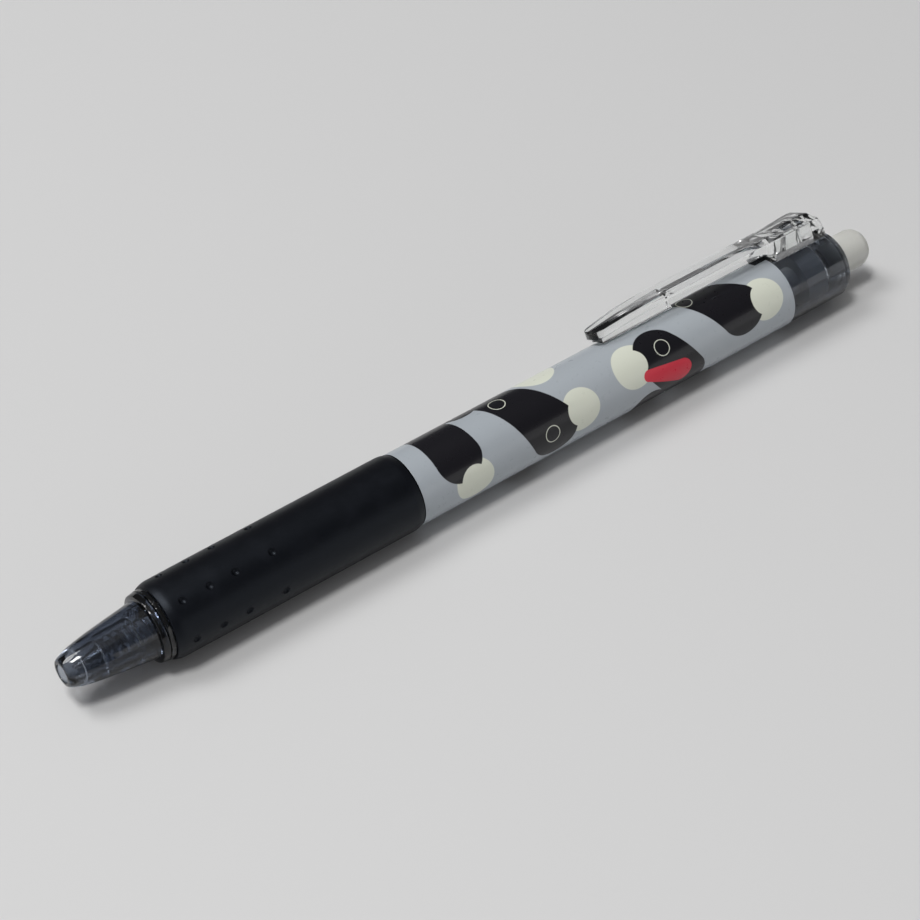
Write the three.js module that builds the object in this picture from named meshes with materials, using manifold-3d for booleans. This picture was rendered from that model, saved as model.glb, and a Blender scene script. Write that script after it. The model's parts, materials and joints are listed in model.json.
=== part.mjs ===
// A retractable gel pen whose clip is the push button, with an eraser on its tail.
// Millimetres. The pen lies along X on a flat surface at Z = 0, tip towards -X, and it is
// rolled about its own axis so that its clip leans towards +Y. The origin is on the grip's
// lowest facet, half way along the grip.
import * as THREE from 'three';
import { mergeVertices } from 'three/addons/utils/BufferGeometryUtils.js';
import Module from 'manifold-3d';

const wasm = await Module();
wasm.setup();

// ---- Driving dimensions -------------------------------------------------------------

const PEN_LENGTH = 142;          // tip face to the end of the eraser
const ROLL = THREE.MathUtils.degToRad(30);   // lean of the clip away from straight up
const SIDES = 24;                // facets round the pen; ROLL is a whole number of them

const SEAT = 0.3;                // gap left where two faces meet end to end
const FIT = 0.1;                 // radial gap of a fixed fit, such as the grip on the barrel
const RUN = 0.3;                 // radial gap round anything that slides or turns

const BARREL_WALL = 1.15;
const GRIP_PROUD = 0.25;         // how far the grip stands out from the barrel
const GRIP_WALL = 0.7;
const GRIP_LENGTH = 39.6;
const GRIP_FRONT_CHAMFER = 0.6;
const GRIP_REAR_CHAMFER = 0.5;
const LIP_LENGTH = 0.9;          // the barrel's front lip, between the cone and the grip
const DIMPLE_R = 0.6;
const DIMPLE_DEPTH = 0.3;
const DIMPLE_ROWS = 6;
const DIMPLE_FROM_FRONT = [2.5, 6.7, 10.7, 16.5];

const CONE_LENGTH = 13.3;        // tip face to the back of the cone's flange
const CONE_FLANGE = 0.8;
const TIP_WALL = 0.55;           // width of the flat ring round the tip's hole
const CONE_FLARE = 0.75;         // quick growth in radius just behind the tip
const CONE_STEP = 0.75;          // from the cone's skirt out to its flange
const NOZZLE_PLAY = 0.2;         // between the nib and the tip's hole
const NOZZLE_LENGTH = 2.6;
const SPIGOT_LENGTH = 6.7;
const SPIGOT_WALL = 0.8;

const STROKE = 6;                // travel of the clip and the refill
const NIB_SETBACK = 2.2;         // how far the point lies inside the tip at rest
const BALL_R = 0.25;
const NIB_LENGTH = 6.8;
const NIB_TAPER = 2.9;
const NIB_STEM_R = 0.8;
const NIB_STEM_LENGTH = 2.7;
const NIB_SHOULDER = 0.35;       // from the nib's stem out to its body
const HOLDER_WALL = 0.5;

const SPRING_WIRE_R = 0.19;
const SPRING_PLAY = 0.22;        // between the nib holder and the inside of the coils
const SPRING_PITCH = 1.35;
const SPRING_STEP = 5.3;         // tip face to the step in the cone that the spring rests on
const SPRING_LENGTH = 10;

const TUBE_STEP = 0.9;           // from the coils out to the refill tube's radius
const TUBE_WALL = 0.45;
const END_PLUG_FLANGE = 2.3;
const END_PLUG_STEM = 4;
const INK_SHARE = 0.72;          // share of the tube that is filled with ink
const FOLLOWER_LENGTH = 4.5;

const ROTOR_LENGTH = 6.5;
const FIN_LENGTH = 2.5;
const FIN_REACH = 1.1;           // how far a fin stands out from the rotor
const FIN_WIDTH = 0.9;
const FIN_PLAY = 0.2;            // between a fin and the floor of its groove
const FINS = 4;
const GUIDE_LENGTH = 3.5;
const GUIDE_WALL = 0.5;
const RIB_WIDTH = 1.1;
const CROWN_HEIGHT = 0.9;
const KNOCK_WALL = 0.9;
const KNOCK_BODY = 3.9;          // length of the knock's wide rear body

const CLIP_LENGTH = 43.3;
const CLIP_TIP_HALF = 1.9;       // half-width at the tip
const CLIP_REAR_HALF = 3.1;      // half-width from the arm's middle to the rear
const CLIP_TIP_TOP = 2.15;       // top of the arm above the barrel: at the tip,
const CLIP_ARM_TOP = 3.2;        // along its middle,
const CLIP_REAR_TOP = 3.65;      // and where the thumb block rises at the rear
const CLIP_NOSE = 16;            // length over which the tip widens and rises
const CLIP_RISE = 9;             // length of the rise at the rear
const CLIP_ARM = 1.15;           // thickness of the arm
const CLIP_GAP = 0.35;           // pad, rib and block to the barrel's surface
const CLIP_BLOCK = 10.1;         // length of the thumb block at its full depth
const CLIP_CHIN = 8;             // length of the hollow slope in front of the block
const CLIP_WALL = 0.95;
const CLIP_PAD = 13;             // length of the pad under the tip
const CLIP_PAD_HALF = 1.3;
const CLIP_RIB_HALF = 0.45;
const CLIP_BEVEL = 0.7;          // along the top edges
const CLIP_SLANT = 1.5;          // how far the rear face leans forward at its top
const CLIP_OVERHANG = 0.5;       // block's rear face to the barrel's end
const FOOT_HALF = 1.2;
const FOOT_LENGTH = 2.7;

const ERASER_LENGTH = 7;
const ERASER_CORNER = 2;
const ERASER_STEM = 2.6;         // how far the eraser reaches into its socket
const ERASER_STEP = 0.55;        // from the eraser's stem out to its body
const RING_LENGTH = 0.9;         // the clear ring behind the barrel
const RING_INSET = 0.45;
const PLUG_DEPTH = 3.1;          // how far the tail plug reaches into the barrel
const PLUG_FLOOR = 0.8;
const PLUG_WALL = 1.45;

// ---- Stations and radii that follow from them ---------------------------------------

// The radii build outwards from the nib to the barrel and the grip.
const NIB_R = NIB_STEM_R + NIB_SHOULDER;
const HOLDER_R = NIB_STEM_R + FIT + HOLDER_WALL;
const SPRING_R = HOLDER_R + SPRING_PLAY + 2 * SPRING_WIRE_R;
const TUBE_R = SPRING_R + TUBE_STEP;
const TUBE_TRAVEL_R = TUBE_R + RUN;
const SPIGOT_R = TUBE_TRAVEL_R + SPIGOT_WALL;
const BORE_R = SPIGOT_R + RUN;
const BARREL_R = BORE_R + BARREL_WALL;
const GRIP_R = BARREL_R + GRIP_PROUD;
const NECK_R = GRIP_R - GRIP_WALL - FIT;
const NOZZLE_R = NIB_R + NOZZLE_PLAY;
const TIP_R = NOZZLE_R + TIP_WALL;

const BARREL_FRONT = CONE_LENGTH + SEAT;
const GRIP_FRONT = CONE_LENGTH + LIP_LENGTH;
const GRIP_REAR = GRIP_FRONT + GRIP_LENGTH;
const BODY_FRONT = GRIP_REAR + SEAT;
const BARREL_END = PEN_LENGTH - ERASER_LENGTH - RING_LENGTH;

const SPRING_FRONT = SPRING_STEP + FIT;
const SPRING_REAR = SPRING_FRONT + SPRING_LENGTH;
const SHOULDER = SPRING_REAR + SEAT;
const COLLAR = SHOULDER + 0.7;
const TUBE_FRONT = COLLAR + 0.7 + SEAT;
const TUBE_TRAVEL_FRONT = COLLAR - STROKE - RUN;
const HOLDER_FRONT = NIB_SETBACK + NIB_LENGTH + SEAT;
const BORE_OF_TUBE = TUBE_R - TUBE_WALL;

const PLUG_FRONT = BARREL_END - PLUG_DEPTH;
const KNOCK_REAR = PLUG_FRONT - SEAT;
const KNOCK_STEP = KNOCK_REAR - KNOCK_BODY;
const GUIDE_REAR = KNOCK_STEP - STROKE - SEAT;
const GUIDE_FRONT = GUIDE_REAR - GUIDE_LENGTH;
const ROTOR_REAR = GUIDE_FRONT + FIN_LENGTH - 0.1;
const ROTOR_FRONT = ROTOR_REAR - ROTOR_LENGTH;
const KNOCK_FRONT = ROTOR_REAR + SEAT;
const GUIDE_R = BORE_R - RUN;
const FIN_R = GUIDE_R - GUIDE_WALL - FIN_PLAY;
const ROTOR_R = FIN_R - FIN_REACH;
const RIB_R = ROTOR_R + RUN;
const REFILL_END = ROTOR_FRONT - SEAT;
const TUBE_END = REFILL_END - END_PLUG_FLANGE - SEAT;

const PLUG_R = BORE_R - RUN;
const ERASER_STEM_R = PLUG_R - PLUG_WALL - FIT;
const ERASER_R = ERASER_STEM_R + ERASER_STEP;
const RING_R = BARREL_R - RING_INSET;

const CLIP_REAR = BARREL_END - CLIP_OVERHANG;
const CLIP_TIP = CLIP_REAR - CLIP_LENGTH;
const BLOCK_FRONT = CLIP_REAR - CLIP_BLOCK;
const FOOT_REAR = KNOCK_REAR - 0.6;
const FOOT_FRONT = FOOT_REAR - FOOT_LENGTH;
const SLOT_HALF = FOOT_HALF + RUN;
const SLOT_FRONT = FOOT_FRONT - STROKE - 2 * RUN;
const FOOT_BOTTOM = ROTOR_R + RUN;

// ---- Materials ----------------------------------------------------------------------

function plastic(colour, roughness, opacity = 1) {
  return new THREE.MeshStandardMaterial({
    color: colour, roughness, metalness: 0, opacity, transparent: opacity < 1,
  });
}

function metal(colour, roughness) {
  return new THREE.MeshStandardMaterial({ color: colour, roughness, metalness: 1 });
}

const SMOKE = plastic(0x2c313c, 0.15, 0.75);
const PRINTED = plastic(0x39404c, 0.25);
const RUBBER = plastic(0x111113, 0.8);
const CLEAR = plastic(0xe9eef0, 0.05, 0.35);
const WHITE_RUBBER = plastic(0xb9b9b0, 0.6);
const MILKY = plastic(0xdfe3e4, 0.35, 0.7);
const GREASE = plastic(0xd8cf9c, 0.2, 0.7);
const INK = plastic(0x0c0c12, 0.2);
const ACETAL = plastic(0xc9ccd0, 0.4);
const GREY_ACETAL = plastic(0x6e7580, 0.4);
const STEEL = metal(0xc4c6c9, 0.3);
const CARBIDE = metal(0x8d9095, 0.15);

// ---- Solids -------------------------------------------------------------------------

// A closed three.js geometry as a manifold solid, with its faces turned outwards.
function solid(geometry) {
  const bare = geometry.clone();
  bare.deleteAttribute('normal');
  bare.deleteAttribute('uv');
  const merged = mergeVertices(bare, 1e-5);
  const faces = Array.from(merged.index.array);
  const place = merged.attributes.position.array;
  const kept = [];
  let volume = 0;
  for (let i = 0; i < faces.length; i += 3) {
    const [a, b, c] = faces.slice(i, i + 3);
    if (a === b || b === c || c === a) continue;
    kept.push(a, b, c);
    const [p, q, r] = [a, b, c].map((v) => new THREE.Vector3().fromArray(place, 3 * v));
    volume += p.dot(q.cross(r));
  }
  if (volume < 0) kept.reverse();
  return new wasm.Manifold(new wasm.Mesh({
    numProp: 3, vertProperties: new Float32Array(place), triVerts: new Uint32Array(kept),
  }));
}

// A manifold solid back as a geometry with flat faces.
function geometryOf(body) {
  const { vertProperties, triVerts } = body.getMesh();
  const geometry = new THREE.BufferGeometry();
  geometry.setAttribute('position', new THREE.BufferAttribute(new Float32Array(vertProperties), 3));
  geometry.setIndex(Array.from(triVerts));
  geometry.computeVertexNormals();
  return geometry;
}

// A solid turned about X from a closed outline of [x, radius] points. Half a facet of
// turn puts a flat facet at the bottom.
function turned(outline, sides = SIDES) {
  const points = outline.map(([x, radius]) => new THREE.Vector2(radius, x));
  if (outline[0][1] > 0) points.push(points[0].clone());
  const geometry = new THREE.LatheGeometry(points, sides);
  geometry.rotateZ(-Math.PI / 2);
  geometry.rotateX(Math.PI / sides);
  return solid(geometry);
}

// A box from its lowest to its highest corner.
function block(low, high) {
  const size = high.map((value, i) => value - low[i]);
  const geometry = new THREE.BoxGeometry(...size);
  geometry.translate(...low.map((value, i) => value + size[i] / 2));
  return solid(geometry);
}

// A flat outline of [x, z] points, made into a plate that reaches half to each side in Y.
function plate(outline, half) {
  const shape = new THREE.Shape(outline.map(([x, z]) => new THREE.Vector2(x, z)));
  const geometry = new THREE.ExtrudeGeometry(shape, { depth: 2 * half, bevelEnabled: false });
  geometry.rotateX(Math.PI / 2);
  geometry.translate(0, half, 0);
  return solid(geometry);
}

// Copies of a solid spread evenly about X, joined.
function spread(make, count, start = 0) {
  const copies = [];
  for (let i = 0; i < count; i += 1) {
    copies.push(make().rotate([(start + i * 360) / count, 0, 0]));
  }
  return wasm.Manifold.union(copies);
}

function named(name, body, material) {
  const mesh = new THREE.Mesh(geometryOf(body), material);
  mesh.name = name;
  return mesh;
}

// ---- Front end ----------------------------------------------------------------------

// The cone's outside radius at a distance from the tip: a quick flare behind the flat tip
// face, then a straighter run to the flange.
function coneRadius(x) {
  const flare = CONE_FLARE * (1 - Math.exp(-x / 1.7));
  const end = CONE_LENGTH - CONE_FLANGE;
  const straight = (NECK_R - CONE_STEP - TIP_R - CONE_FLARE) * (x / end);
  return TIP_R + flare + straight;
}

function tipCone() {
  const shellEnd = CONE_LENGTH - CONE_FLANGE;
  const outside = [];
  const steps = 12;
  for (let i = 0; i <= steps; i += 1) {
    const x = shellEnd * (i / steps) ** 1.3;
    outside.push([x, coneRadius(x)]);
  }
  const chamber = SPRING_R + RUN;
  return turned([
    [0, NOZZLE_R],
    ...outside,
    [shellEnd + 0.15, NECK_R - 0.1],
    [CONE_LENGTH - 0.1, NECK_R + 0.1],
    [CONE_LENGTH, NECK_R],
    [CONE_LENGTH, SPIGOT_R],
    [CONE_LENGTH + SPIGOT_LENGTH, SPIGOT_R - 0.15],
    [CONE_LENGTH + SPIGOT_LENGTH, TUBE_TRAVEL_R],
    [TUBE_TRAVEL_FRONT, TUBE_TRAVEL_R],
    [TUBE_TRAVEL_FRONT, chamber],
    [SPRING_STEP, chamber],
    [SPRING_STEP, HOLDER_R + RUN],
    [NOZZLE_LENGTH, HOLDER_R + RUN],
    [NOZZLE_LENGTH, NOZZLE_R],
  ]);
}

// The helix of a compression spring about X, whose first and last turns are closed up.
class CoilCurve extends THREE.Curve {
  constructor(front, length, radius, wire, pitch) {
    super();
    this.front = front + wire;
    this.radius = radius - wire;
    this.closed = 2 * wire * 1.15;
    this.open = length - 2 * wire - 2 * this.closed;
    this.openTurns = Math.max(2, Math.round(this.open / pitch));
    this.turns = this.openTurns + 2;
  }

  getPoint(t, target = new THREE.Vector3()) {
    const turn = t * this.turns;
    const middle = THREE.MathUtils.clamp(turn - 1, 0, this.openTurns) / this.openTurns;
    const ends = THREE.MathUtils.clamp(turn, 0, 1)
      + THREE.MathUtils.clamp(turn - 1 - this.openTurns, 0, 1);
    const x = this.front + ends * this.closed + middle * this.open;
    const angle = turn * 2 * Math.PI;
    return target.set(x, this.radius * Math.cos(angle), this.radius * Math.sin(angle));
  }
}

function returnSpring() {
  const curve = new CoilCurve(
    SPRING_FRONT, SPRING_LENGTH, SPRING_R, SPRING_WIRE_R, SPRING_PITCH);
  const section = new THREE.Shape();
  const wireSides = 6;
  for (let i = 0; i < wireSides; i += 1) {
    const angle = (i * 2 * Math.PI) / wireSides;
    const place = [SPRING_WIRE_R * Math.cos(angle), SPRING_WIRE_R * Math.sin(angle)];
    if (i === 0) section.moveTo(...place);
    else section.lineTo(...place);
  }
  section.closePath();
  const geometry = new THREE.ExtrudeGeometry(section, {
    steps: 16 * curve.turns, extrudePath: curve, bevelEnabled: false,
  });
  return solid(geometry);
}

// ---- Refill -------------------------------------------------------------------------

function nib() {
  const mouth = BALL_R + 0.04;
  const rear = NIB_SETBACK + NIB_LENGTH;
  return turned([
    [NIB_SETBACK, mouth],
    [NIB_SETBACK, mouth + 0.08],
    [NIB_SETBACK + NIB_TAPER, NIB_R],
    [rear, NIB_R],
    [rear, NIB_STEM_R],
    [rear + NIB_STEM_LENGTH, NIB_STEM_R],
    [rear + NIB_STEM_LENGTH, mouth],
  ], 16);
}

function nibBall() {
  const geometry = new THREE.SphereGeometry(BALL_R, 12, 8);
  geometry.translate(NIB_SETBACK + 0.4 * BALL_R, 0, 0);
  return solid(geometry);
}

function nibHolder() {
  const bore = NIB_STEM_R + FIT;
  const tongue = TUBE_FRONT + 5;
  return turned([
    [HOLDER_FRONT, bore],
    [HOLDER_FRONT, HOLDER_R],
    [SHOULDER, HOLDER_R],
    [SHOULDER, SPRING_R + 0.05],
    [COLLAR, SPRING_R + 0.05],
    [COLLAR, TUBE_R],
    [TUBE_FRONT - SEAT, TUBE_R],
    [TUBE_FRONT - SEAT, BORE_OF_TUBE - FIT],
    [tongue, BORE_OF_TUBE - FIT],
    [tongue, bore],
  ], 16);
}

function refillTube() {
  return turned([
    [TUBE_FRONT, BORE_OF_TUBE],
    [TUBE_FRONT, TUBE_R],
    [TUBE_END, TUBE_R],
    [TUBE_END, BORE_OF_TUBE],
  ], 16);
}

const INK_FRONT = TUBE_FRONT + 5 + SEAT;
const INK_REAR = INK_FRONT + INK_SHARE * (TUBE_END - END_PLUG_STEM - INK_FRONT);

// A plain rod that fills the tube's bore between two stations.
function filling(front, rear) {
  const radius = BORE_OF_TUBE - FIT;
  return turned([[front, 0], [front, radius], [rear, radius], [rear, 0]], 16);
}

function refillEndPlug() {
  const stem = BORE_OF_TUBE - FIT;
  return turned([
    [TUBE_END - END_PLUG_STEM, 0],
    [TUBE_END - END_PLUG_STEM, stem],
    [TUBE_END + SEAT, stem],
    [TUBE_END + SEAT, TUBE_R],
    [REFILL_END, TUBE_R],
    [REFILL_END, 0],
  ], 16);
}

// ---- Click latch --------------------------------------------------------------------

// Wedges that cross the axis, so that each cuts two notches in a round crown.
function notches(face, depth, count) {
  const half = 0.8;
  const reach = 2 * FIN_R;
  return spread(() => plate([
    [face - 0.5, -half * (1 + 0.5 / depth)],
    [face + depth, 0],
    [face - 0.5, half * (1 + 0.5 / depth)],
  ], reach), count, 180 / 2);
}

function rotorCam() {
  const core = turned([
    [ROTOR_FRONT, 0],
    [ROTOR_FRONT, ROTOR_R - 0.3],
    [ROTOR_FRONT + 0.6, ROTOR_R],
    [ROTOR_REAR, ROTOR_R],
    [ROTOR_REAR, 0],
  ]);
  const fins = spread(() => plate([
    [ROTOR_REAR - FIN_LENGTH, ROTOR_R - 0.5],
    [ROTOR_REAR - FIN_LENGTH, FIN_R],
    [ROTOR_REAR - CROWN_HEIGHT, FIN_R],
    [ROTOR_REAR, ROTOR_R + 0.2],
    [ROTOR_REAR, ROTOR_R - 0.5],
  ], FIN_WIDTH / 2), FINS, 180);
  return core.add(fins);
}

// The fixed guide: a ring in the bore with ribs that keep the rotor's fins in line.
function camGuide() {
  const inner = GUIDE_R - GUIDE_WALL;
  const ring = turned([
    [GUIDE_FRONT, inner],
    [GUIDE_FRONT, GUIDE_R],
    [GUIDE_REAR, GUIDE_R],
    [GUIDE_REAR, inner],
  ]);
  const ribs = spread(() => plate([
    [GUIDE_FRONT, RIB_R + 0.4],
    [GUIDE_FRONT + 0.8, RIB_R],
    [GUIDE_REAR, RIB_R],
    [GUIDE_REAR, inner + 0.2],
    [GUIDE_FRONT, inner + 0.2],
  ], RIB_WIDTH / 2), FINS);
  return ring.add(ribs);
}

// The slider: a notched nose inside the guide, and a wide body that the clip's foot
// is hooked into.
function knockCam() {
  const nose = ROTOR_R;
  const bore = nose - KNOCK_WALL;
  const body = turned([
    [KNOCK_FRONT, bore],
    [KNOCK_FRONT, nose],
    [KNOCK_STEP, nose],
    [KNOCK_STEP, GUIDE_R],
    [KNOCK_REAR, GUIDE_R],
    [KNOCK_REAR, bore],
  ]);
  const pocket = block(
    [FOOT_FRONT - RUN, -FOOT_HALF - RUN, FOOT_BOTTOM - RUN],
    [FOOT_REAR + RUN, FOOT_HALF + RUN, GUIDE_R + 1],
  );
  return body.subtract(notches(KNOCK_FRONT, CROWN_HEIGHT, FINS)).subtract(pocket);
}

// ---- Barrel, grip and tail ----------------------------------------------------------

function barrel() {
  const lip = NECK_R + 0.15;
  const tube = turned([
    [BARREL_FRONT, BORE_R],
    [BARREL_FRONT, lip],
    [GRIP_FRONT - SEAT, lip],
    [GRIP_FRONT - SEAT, NECK_R],
    [BODY_FRONT, NECK_R],
    [BODY_FRONT, BARREL_R],
    [BARREL_END, BARREL_R],
    [BARREL_END, BORE_R],
  ]);
  const slot = block(
    [SLOT_FRONT, -SLOT_HALF, BORE_R - 2],
    [BARREL_END + 1, SLOT_HALF, BARREL_R + 1],
  );
  return tube.subtract(slot);
}

function gripSleeve() {
  const bore = GRIP_R - GRIP_WALL;
  const sleeve = turned([
    [GRIP_FRONT, bore],
    [GRIP_FRONT, GRIP_R - GRIP_FRONT_CHAMFER / 2],
    [GRIP_FRONT + GRIP_FRONT_CHAMFER, GRIP_R],
    [GRIP_REAR - GRIP_REAR_CHAMFER, GRIP_R],
    [GRIP_REAR, GRIP_R - GRIP_REAR_CHAMFER / 2],
    [GRIP_REAR, bore],
  ]);
  const facet = GRIP_R * Math.cos(Math.PI / SIDES);
  const ballR = (DIMPLE_R ** 2 + DIMPLE_DEPTH ** 2) / (2 * DIMPLE_DEPTH);
  const dimples = DIMPLE_FROM_FRONT.map((station) => spread(() => {
    const ball = new THREE.SphereGeometry(ballR, 10, 8);
    ball.translate(GRIP_FRONT + station, 0, facet + ballR - DIMPLE_DEPTH);
    return solid(ball);
  }, DIMPLE_ROWS));
  return sleeve.subtract(wasm.Manifold.union(dimples));
}

function tailPlug() {
  const socket = ERASER_STEM_R + FIT;
  const body = turned([
    [PLUG_FRONT, 0],
    [PLUG_FRONT, PLUG_R],
    [BARREL_END + SEAT, PLUG_R],
    [BARREL_END + SEAT, RING_R],
    [BARREL_END + RING_LENGTH, RING_R],
    [BARREL_END + RING_LENGTH, socket],
    [PLUG_FRONT + PLUG_FLOOR, socket],
    [PLUG_FRONT + PLUG_FLOOR, 0],
  ]);
  const key = block(
    [PLUG_FRONT + 0.4, -SLOT_HALF + RUN, PLUG_R - 0.6],
    [BARREL_END + SEAT + 0.1, SLOT_HALF - RUN, BARREL_R - 0.4],
  );
  return body.add(key);
}

function eraser() {
  const front = PEN_LENGTH - ERASER_LENGTH + SEAT;
  const outline = [
    [front - ERASER_STEM, 0],
    [front - ERASER_STEM, ERASER_STEM_R],
    [front, ERASER_STEM_R],
    [front, ERASER_R],
  ];
  const steps = 6;
  for (let i = 0; i <= steps; i += 1) {
    const angle = (i / steps) * (Math.PI / 2);
    outline.push([
      PEN_LENGTH - ERASER_CORNER * (1 - Math.sin(angle)),
      ERASER_R - ERASER_CORNER * (1 - Math.cos(angle)),
    ]);
  }
  outline.push([PEN_LENGTH, 0]);
  return turned(outline);
}

// ---- Clip ---------------------------------------------------------------------------

// Height of the clip's top above the pen's axis at a station: it swells up from the tip,
// runs level, and rises again over the thumb block.
function clipTop(x) {
  const nose = THREE.MathUtils.clamp((x - CLIP_TIP) / CLIP_NOSE, 0, 1);
  const rise = THREE.MathUtils.smoothstep(
    x, CLIP_REAR - CLIP_RISE, CLIP_REAR - CLIP_SLANT);
  return BARREL_R + CLIP_TIP_TOP
    + (CLIP_ARM_TOP - CLIP_TIP_TOP) * Math.sin(nose * (Math.PI / 2))
    + (CLIP_REAR_TOP - CLIP_ARM_TOP) * rise;
}

const clipUnder = (x) => clipTop(Math.min(x, CLIP_REAR - CLIP_RISE)) - CLIP_ARM;

// Stations from one end of a stretch to the other.
function stations(from, to, steps) {
  return Array.from({ length: steps + 1 }, (_, i) => from + ((to - from) * i) / steps);
}

// The plan outline, seen from above: a rounded tip that widens to the full width.
function clipPlan(bottom, top) {
  const half = (x) => {
    const nose = THREE.MathUtils.clamp((x - CLIP_TIP) / CLIP_NOSE, 0, 1);
    return CLIP_TIP_HALF + (CLIP_REAR_HALF - CLIP_TIP_HALF) * Math.sin(nose * (Math.PI / 2));
  };
  const corner = half(CLIP_TIP + CLIP_TIP_HALF);
  const side = stations(CLIP_TIP + CLIP_TIP_HALF, CLIP_TIP + CLIP_NOSE, 6);
  const shape = new THREE.Shape();
  shape.moveTo(CLIP_REAR, -CLIP_REAR_HALF);
  shape.lineTo(CLIP_REAR, CLIP_REAR_HALF);
  [...side].reverse().forEach((x) => shape.lineTo(x, half(x)));
  shape.absellipse(
    CLIP_TIP + CLIP_TIP_HALF, 0, CLIP_TIP_HALF, corner,
    Math.PI / 2, 1.5 * Math.PI, false, 0);
  side.slice(1).forEach((x) => shape.lineTo(x, -half(x)));
  shape.closePath();
  const geometry = new THREE.ExtrudeGeometry(shape, {
    depth: top - bottom, bevelEnabled: false, curveSegments: 8,
  });
  geometry.translate(0, 0, bottom);
  return solid(geometry);
}

function clip() {
  const low = BARREL_R - 1.2;
  const chinFront = BLOCK_FRONT - CLIP_CHIN;
  const chinTop = clipUnder(chinFront);
  const chin = stations(0, Math.PI / 2, 6).map((angle) => [
    chinFront + CLIP_CHIN * Math.sin(angle),
    BARREL_R + (chinTop - BARREL_R) * Math.cos(angle),
  ]);
  const side = plate([
    ...stations(CLIP_TIP, CLIP_TIP + CLIP_NOSE, 6).map((x) => [x, clipUnder(x)]),
    ...chin,
    [BLOCK_FRONT, low],
    [CLIP_REAR, low],
    [CLIP_REAR, BARREL_R + 1],
    [CLIP_REAR - 0.4, BARREL_R + 2.3],
    ...stations(CLIP_REAR - CLIP_SLANT, CLIP_REAR - CLIP_RISE, 6).map((x) => [x, clipTop(x)]),
    ...stations(CLIP_TIP + CLIP_NOSE, CLIP_TIP, 6).map((x) => [x, clipTop(x)]),
  ], CLIP_REAR_HALF + 1);
  let body = clipPlan(low - 1, clipTop(CLIP_REAR) + 1).intersect(side);

  const cavityTop = clipUnder(CLIP_REAR);
  const cavity = CLIP_REAR_HALF - CLIP_WALL;
  body = body.subtract(block(
    [BLOCK_FRONT + 0.5, -cavity, low - 1],
    [CLIP_REAR - CLIP_SLANT - CLIP_WALL, cavity, cavityTop],
  ));

  const cutter = 3;
  const out = (cutter - CLIP_BEVEL / Math.SQRT2) / Math.SQRT2;
  for (const hand of [-1, 1]) {
    const wedge = new THREE.BoxGeometry(CLIP_LENGTH + 4, 2 * cutter, 2 * cutter);
    wedge.rotateX(Math.PI / 4);
    wedge.translate(
      CLIP_REAR - CLIP_LENGTH / 2,
      hand * (CLIP_REAR_HALF + out),
      BARREL_R + CLIP_ARM_TOP + out);
    body = body.subtract(solid(wedge));
  }

  const padEnd = CLIP_TIP + 1.2 + CLIP_PAD;
  const pad = plate([
    [CLIP_TIP + 1.2, low],
    [padEnd, low],
    ...stations(padEnd, CLIP_TIP + 1.2, 6).map((x) => [x, clipUnder(x) + 0.4]),
  ], CLIP_PAD_HALF);
  const rib = block(
    [padEnd - 1, -CLIP_RIB_HALF, BARREL_R + CLIP_GAP],
    [BLOCK_FRONT + 1, CLIP_RIB_HALF, clipUnder(BLOCK_FRONT) + 0.4],
  );
  const foot = block(
    [FOOT_FRONT, -FOOT_HALF, FOOT_BOTTOM],
    [FOOT_REAR, FOOT_HALF, cavityTop + 0.3],
  );
  const clearance = BARREL_R + CLIP_GAP;
  const room = turned([
    [CLIP_TIP - 5, 0],
    [CLIP_TIP - 5, clearance],
    [CLIP_REAR + 5, clearance],
    [CLIP_REAR + 5, 0],
  ], 2 * SIDES);
  return body.add(pad).add(rib).subtract(room).add(foot);
}

// ---- The pen ------------------------------------------------------------------------

// Built about its own axis, tip face at x = 0 and clip straight up.
const pen = new THREE.Group();
pen.add(
  named('tip_cone', tipCone(), SMOKE),
  named('return_spring', returnSpring(), STEEL),
  named('nib', nib(), STEEL),
  named('nib_ball', nibBall(), CARBIDE),
  named('nib_holder', nibHolder(), ACETAL),
  named('refill_tube', refillTube(), MILKY),
  named('ink_column', filling(INK_FRONT, INK_REAR), INK),
  named('ink_follower', filling(INK_REAR + SEAT, INK_REAR + FOLLOWER_LENGTH), GREASE),
  named('refill_end_plug', refillEndPlug(), ACETAL),
  named('rotor_cam', rotorCam(), ACETAL),
  named('cam_guide', camGuide(), GREY_ACETAL),
  named('knock_cam', knockCam(), ACETAL),
  named('barrel', barrel(), PRINTED),
  named('grip_sleeve', gripSleeve(), RUBBER),
  named('tail_plug', tailPlug(), CLEAR),
  named('eraser', eraser(), WHITE_RUBBER),
  named('clip', clip(), CLEAR),
);
pen.rotation.x = -ROLL;

// Laid down, with the origin under the middle of the grip.
const laid = new THREE.Group();
laid.position.set(
  -(GRIP_FRONT + GRIP_REAR) / 2, 0, GRIP_R * Math.cos(Math.PI / SIDES));
laid.add(pen);

const gelPen = new THREE.Group();
gelPen.add(laid);
export default gelPen;
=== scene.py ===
import json
import math

import bmesh
import bpy
from mathutils import Matrix, Vector


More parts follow.
